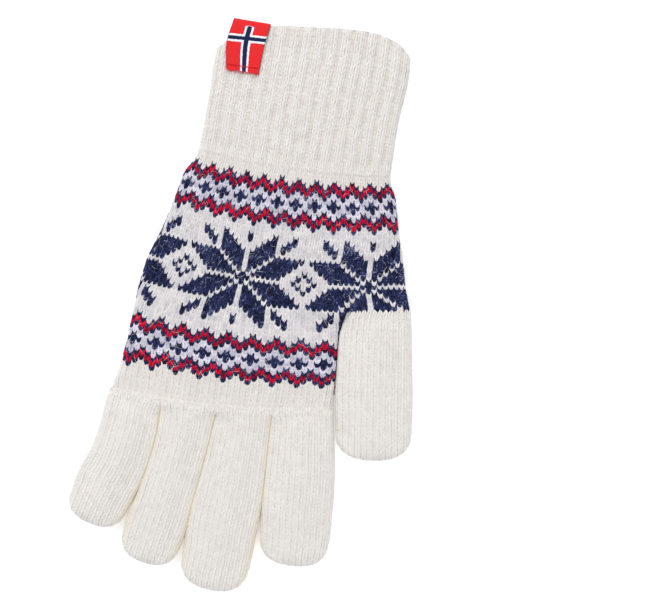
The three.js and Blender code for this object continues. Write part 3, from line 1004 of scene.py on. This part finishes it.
def hand_field(name, ends, below, seed):
    """The hand's stitches between two columns. Of the last course only the webs between the fingers are kept."""
    grid, courses, _ = HAND_PARTS[below]
    columns = range(*ends)
    raised = LAST_HEIGHT * (np.array(courses) == LAST_COURSE - 1)
    kept = np.ones((len(courses), len(columns)), bool)
    if below:
        points = ring_on(grid, np.array(columns, float), float(LAST_COURSE), 0.0)
        kept[-1] = np.abs(points[:, :1] - CROTCHES).min(axis=1) < CROTCH_REACH
        raised[-1] = WEB_HEIGHT
    colours = hand_colours(columns, courses, below)
    return lay_stitches(name, KNIT, grid, columns, courses, kept, colours, KNIT_MATERIALS, seed, raised)


def hand_ground(name, below):
    """The cloth behind the hand's stitches. It runs a little way under the fingers, deeper there."""
    grid, courses, _ = HAND_PARTS[below]
    total = PALM_COLUMNS if below else HAND_COLUMNS
    rings = []
    for course in np.arange(courses[0] - 0.5, courses[-1] + 1):
        past = course - LAST_COURSE
        depth = GROUND_DEPTH - GROUND_RISE * ease((past + 3) / 2.5) + GROUND_DIP * max(0, past + 0.5)
        rings.append(ring_on(grid, np.arange(total) + FIRST_COLUMN - 0.5, course, -depth))
    colours = hand_colours(range(FIRST_COLUMN, FIRST_COLUMN + total), courses, below)
    return ground(name, np.array(rings), HAND_WALL - GROUND_DEPTH, BACK_MATERIALS, colours)


def hand_side(name, ends, fibres, seed):
    """The stitches and stray fibres of one side of the hand, between two columns above and two below the split."""
    fields = [hand_field(f"{name}_{below}", ends[below], below, seed + below) for below in (0, 1)]
    return fields + [
        lay_fibres(f"{name}_fibres_{below}", grid, ends[below], courses, fibres[below], seed + 30 + below)
        for below, (grid, _, courses) in enumerate(HAND_PARTS)
    ]


hand_front = join("hand_back_knit", hand_side(
    "front", ((FIRST_COLUMN, UPPER_FRONT_END), (FIRST_COLUMN, LOWER_FRONT_END)), (520, 270), 11,
))
hand_palm = join("hand_palm_knit", hand_side(
    "palm", ((UPPER_FRONT_END, FIRST_COLUMN + HAND_COLUMNS), (LOWER_FRONT_END, FIRST_COLUMN + PALM_COLUMNS)),
    (280, 180), 13,
) + [hand_ground("upper_ground", 0), hand_ground("lower_ground", 1)])
for piece in (hand_front, hand_palm):
    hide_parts("hand")
    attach(piece, "root")


# The cuff

cuff = cuff_grid()
first_inside = int(cuff["course"]) + 1
cuff_courses = range(first_inside, CUFF_COURSES)
cuff_columns = range(FIRST_COLUMN, FIRST_COLUMN + HAND_COLUMNS)
is_purl = np.array([[column % 3 == 0 for column in cuff_columns]] * len(cuff_courses))
is_purl[-PLAIN_COURSES:] = False
plain = np.zeros(is_purl.shape, int)
outer_courses = np.concatenate([np.arange(first_inside, 3, 0.5), np.arange(3, CUFF_COURSES + 1)])
cuff_rings = np.array([
    ring_on(cuff, np.array(cuff_columns), course, height) for course, height in (
        *((course, 0.2 - CUFF_WALL) for course in np.linspace(CUFF_COURSES, CUFF_INSIDE + 2, 7)),
        *((course, -GROUND_DEPTH) for course in outer_courses),
        (CUFF_COURSES + 0.9, -0.6),
    )
])
cuff["course"] -= 0.5
cuff_ends = (FIRST_COLUMN, FIRST_COLUMN + HAND_COLUMNS)
ribbed = join("cuff_rib_knit", [
    lay_stitches("rib_knit", KNIT, cuff, cuff_columns, cuff_courses, ~is_purl, plain, [CREAM], 21),
    lay_stitches("rib_purl", PURL, cuff, cuff_columns, cuff_courses, is_purl, plain, [CREAM_PURL_SHADED], 22),
    ground("rib_ground", cuff_rings, RIB_WALL, [CREAM_BACK]),
    lay_fibres("rib_fibres", cuff, cuff_ends, (-1, CUFF_COURSES - 3), 120, 45),
])
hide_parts("ribbed_cuff")
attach(ribbed, "root")


# The fingers

def finger_ground(name, finger):
    """The cloth behind a finger's stitches, closed at the tip."""
    shares = np.arange(2 * finger["columns"]) / (2 * finger["columns"])
    straight = finger_rows(finger)["distance"][-1]
    rings = []
    for distance in np.linspace(0, straight, FINGER_RINGS):
        depth = GROUND_DEPTH - GROUND_RISE * float(1 - ease(distance / 3))
        v, across, height = finger_section(finger, distance, depth)
        across, height = points_at(across, height, shares)
        rings.append(finger_place(v, across, 0.0, height))
    tip = finger["tip"] - GROUND_DEPTH
    for step in range(1, TIP_RINGS + 1):
        reach = tip * 0.992 * math.sin(step / TIP_RINGS * math.pi / 2)
        width, fold, lift, narrowing = tip_section(v, tip, reach)
        crown = fold + (v["crown"] - v["fold"]) * narrowing**2
        across, height = points_at(*outline(max(width, 1.02 * fold), fold, crown), shares)
        rings.append(finger_place(v, across, reach, height + lift + GROUND_DEPTH))
    return ground(name, np.array(rings), FINGER_WALL - GROUND_DEPTH, [CREAM_BACK], closed=True)


for number, (node_name, finger) in enumerate(FINGERS.items()):
    grid = finger_grid(finger)
    columns, courses = range(finger["columns"]), range(grid["courses"] + 12)
    ends = grid["courses"] + grid["edges"][::2]
    kept = np.array([[course <= end - 0.1 for end in ends] for course in courses])
    grid["course"] -= 0.1
    column = np.array(columns)
    # Columns at a fold that is held against a neighbour get the warm tan cream, as painted shade in the groove
    # between the fingers
    groove_shaded = np.zeros(len(column), bool)
    if node_name != "thumb":
        kept[0] = column * 7 % 5 < 2
        from_folds = np.minimum(column, len(column) - column), np.abs(column - len(column) // 2)
        for away, held in zip(from_folds, finger["held"]):
            groove_shaded |= (away <= 1) & (held > 0)
    colours = np.tile(groove_shaded.astype(int), (len(courses), 1))
    raised = 0.1 * (np.array(courses) < 2)
    tube = join(node_name + "_knit", [
        lay_stitches(node_name + "_stitches", KNIT, grid, columns, courses, kept, colours,
                     [CREAM, CREAM_FOLD_SHADED], 31 + number, raised),
        finger_ground(node_name + "_ground", finger),
        lay_fibres(node_name + "_fibres", grid, (0, len(column)), (2, grid["courses"] + 1), 120, 51 + number),
    ])
    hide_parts(node_name)
    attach(tube, "root")

for unit in (KNIT, PURL):
    bpy.data.objects.remove(unit)


# The woven tab

def from_rgb(*values):
    """A linear colour from its 8-bit screen values."""
    shares = [v / 255 for v in values]
    return tuple(v / 12.92 if v <= 0.04045 else ((v + 0.055) / 1.055) ** 2.4 for v in shares)


TAB_NAVY, TAB_WHITE, TAB_RED = from_rgb(26, 40, 76), from_rgb(250, 246, 248), (0.85, 0.026, 0.028)


def tab_material():
    """A ribbon with a navy cross edged in white on red, woven in fine ribs."""
    material, tree, surface = shader("Woven ribbon")
    add, less, times, least, most, size, sine = sums(tree, "MINIMUM", "MAXIMUM", "ABSOLUTE", "SINE")
    share_across, share_down = map_places(tree, "OFBake")
    across, down = times(share_across, TAB_BREADTH), times(share_down, TAB_LENGTH)
    wobble = texture(tree, "ShaderNodeTexNoise", Scale=1500.0, Detail=2.0)
    stray = times(less(wobble, 0.5), 0.5)
    from_upright = size(less(add(across, stray), add(CROSS_UPRIGHT, times(down, -0.05))))
    from_upright = add(from_upright, times(most(less(down, CROSS_END), 0.0), 8.0))
    from_bar = size(less(add(down, stray), add(CROSS_BAR, share_across)))
    nearest = least(less(from_upright, UPRIGHT_HALF), less(from_bar, BAR_HALF))
    ramp = colour_ramp(tree, add(times(nearest, 0.2), 0.2), (0.0, TAB_NAVY), (0.2, TAB_WHITE), (0.37, TAB_RED))
    ramp.color_ramp.interpolation = "CONSTANT"
    weave = times(add(sine(times(down, 12.0)), 1.0), add(sine(times(across, 17.0)), 1.6))
    tone = node(tree, "ShaderNodeMapRange")
    set_inputs(tone, {"From Max": 5.2, "To Min": 0.9, "To Max": 1.04})
    tree.links.new(weave, tone.inputs["Value"])
    from_side = least(across, less(TAB_BREADTH, across))
    side_tone = least(add(times(from_side, 1.5), 0.4), 1.0)
    darker = node(tree, "ShaderNodeMix", data_type="RGBA", blend_type="MULTIPLY")
    darker.inputs[0].default_value = 1.0
    tree.links.new(ramp.outputs["Color"], darker.inputs[6])
    tree.links.new(times(tone.outputs["Result"], side_tone), darker.inputs[7])
    tree.links.new(darker.outputs[2], surface.inputs["Base Color"])
    relief(tree, surface, weave, 0.3, 0.00012)
    set_inputs(surface, {"Roughness": 0.8, "Specular IOR Level": 0.15})
    return material


def tab_side(side, y):
    """Where a side of the ribbon is at y."""
    return smooth(*side, np.clip(y, side[0][0], side[0][-1]))


def tab_path(x, share):
    """The ribbon's y and height at x and at a share of its length: up the front leaf, over the rim, down inside."""
    front, back = TAB_RAISE, -CUFF_WALL - 0.9
    straight = TAB_TOP - TAB_BEND
    leaf = straight - TAB_FOOT
    arc = math.pi * math.sqrt((TAB_BEND**2 + ((front - back) / 2) ** 2) / 2)
    total = 2 * leaf + arc
    length = share * total
    angle = np.clip((length - leaf) / arc, 0, 1) * math.pi
    over = straight + TAB_BEND * np.sin(angle)
    y = np.where(length < leaf, TAB_FOOT + length, np.where(length > leaf + arc, total - length + TAB_FOOT, over))
    z = (front + back) / 2 + (front - back) / 2 * np.cos(angle)
    return y, dome(x, *NEAR_RIM) + z


def tab_threads():
    """The row of stitches that holds the ribbon's lower end, and the ends of threads that fray below it."""
    thread = yarn_grain("tab_threads")
    v, index = repeated(thread, TAB_STITCHES, 1 + TAB_FRAYS)
    rng = np.random.default_rng(61)
    count = TAB_STITCHES * (1 + TAB_FRAYS)
    loose = rng.uniform(-0.5, 0.5, (3, count))[:, index]
    sewn = index < TAB_STITCHES
    aside, along = v[:, 0], v[:, 1]
    sewn_u = along * 1.15 + 0.1 * loose[0]
    frayed_u = aside * 0.016 + 0.11 * loose[0] + 0.03 * loose[1] * along
    middle = (index % TAB_STITCHES + 0.5) / TAB_STITCHES
    u = middle + np.where(sewn, sewn_u, frayed_u) / np.where(sewn, TAB_STITCHES, 1)
    y = np.where(sewn, TAB_SEWN + 0.5 * aside + 0.1 * loose[1], TAB_FRAYED + 0.45 * loose[2] + 1.1 * along)
    z = np.where(sewn, 0.16 + 0.34 * v[:, 2], -0.05 + 0.2 * v[:, 2] + 0.1 * loose[1])
    left, right = (tab_side(side, np.full(len(u), TAB_SIDES_AT)) for side in (TAB_LEFT, TAB_RIGHT))
    x = left + (right - left) * u
    height = dome(x, *NEAR_RIM) + TAB_RAISE + TAB_THICKNESS / 2 + z
    place_points(thread, np.stack([x, y + 0.5 * (u - 0.5), height], 1))
    set_shade(thread, rng.uniform(0.3, 0.8, count)[index])
    thread.data.materials.append(THREAD)
    bpy.ops.object.shade_smooth()
    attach(thread, "root")
    return thread


start()
bpy.ops.mesh.primitive_grid_add(x_subdivisions=34, y_subdivisions=96, size=1)
tab = named("woven_ribbon_tab")
tab_u, tab_v = (read(tab.data.vertices, "co", 3).astype(float) + 0.5)[:, :2].T
tab_y, _ = tab_path(0 * tab_u, tab_v)
left, right = (tab_side(side, tab_y) for side in (TAB_LEFT, TAB_RIGHT))
tab_x = left + (right - left) * tab_u
tab_y, tab_z = tab_path(tab_x, tab_v)
tab_y = tab_y + 0.12 * (tab_u - 0.5) + 0.25 * np.sin(3.1 * tab_u) * (tab_v < 0.02)
place_points(tab, np.stack([tab_x, tab_y, tab_z], 1))
tab.data.uv_layers[0].name = "OFBake"
wall = tab.modifiers.new("Thickness", "SOLIDIFY")
wall.thickness = TAB_THICKNESS * MM
wall.offset = 0
bpy.ops.object.modifier_apply(modifier=wall.name)
bpy.ops.object.shade_smooth_by_angle(angle=math.radians(50))
tab.data.materials.append(tab_material())
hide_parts("woven_tab")
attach(tab, "root")
tab_threads()


# Floor, light and camera

start()
bpy.ops.mesh.primitive_plane_add(size=4, location=(0, 0, -0.0003))
floor = named("floor")
paper, _, paper_surface = shader("Pale paper")
set_inputs(paper_surface, {
    "Base Color": (0.9, 0.9, 0.9, 1), "Roughness": 0.9, "Emission Color": (1, 1, 1, 1), "Emission Strength": 0.35,
})
floor.data.materials.append(paper)


def soft_light(name, place, size, power):
    """An area light that faces the origin."""
    bpy.ops.object.light_add(type="AREA", location=place)
    light = bpy.context.object
    light.name = name
    light.data.size = size
    light.data.energy = power
    light.data.color = STUDIO_WHITE
    x, y, z = place
    light.rotation_euler = (math.atan2(math.hypot(x, y), z), 0, math.atan2(-x, y) + math.pi)


soft_light("Key light", (-0.8, 0.8, 1.2), 1.2, 15)
soft_light("Fill light", (1.0, -0.6, 1.3), 1.4, 7.5)
world = bpy.data.worlds.new("Studio")
world.use_nodes = True
set_inputs(world.node_tree.nodes["Background"], {"Color": (*STUDIO_WHITE, 1), "Strength": 0.61})
bpy.context.scene.world = world
bpy.context.scene.view_settings.view_transform = "Standard"

bpy.ops.object.camera_add(location=(26.1 * MM, 7.6 * MM, 1.508), rotation=(0, 0, math.radians(10)))
camera = bpy.context.object
camera.data.sensor_width = 36
camera.data.lens = 193.3
camera.data.clip_start = 0.05
bpy.context.scene.camera = camera
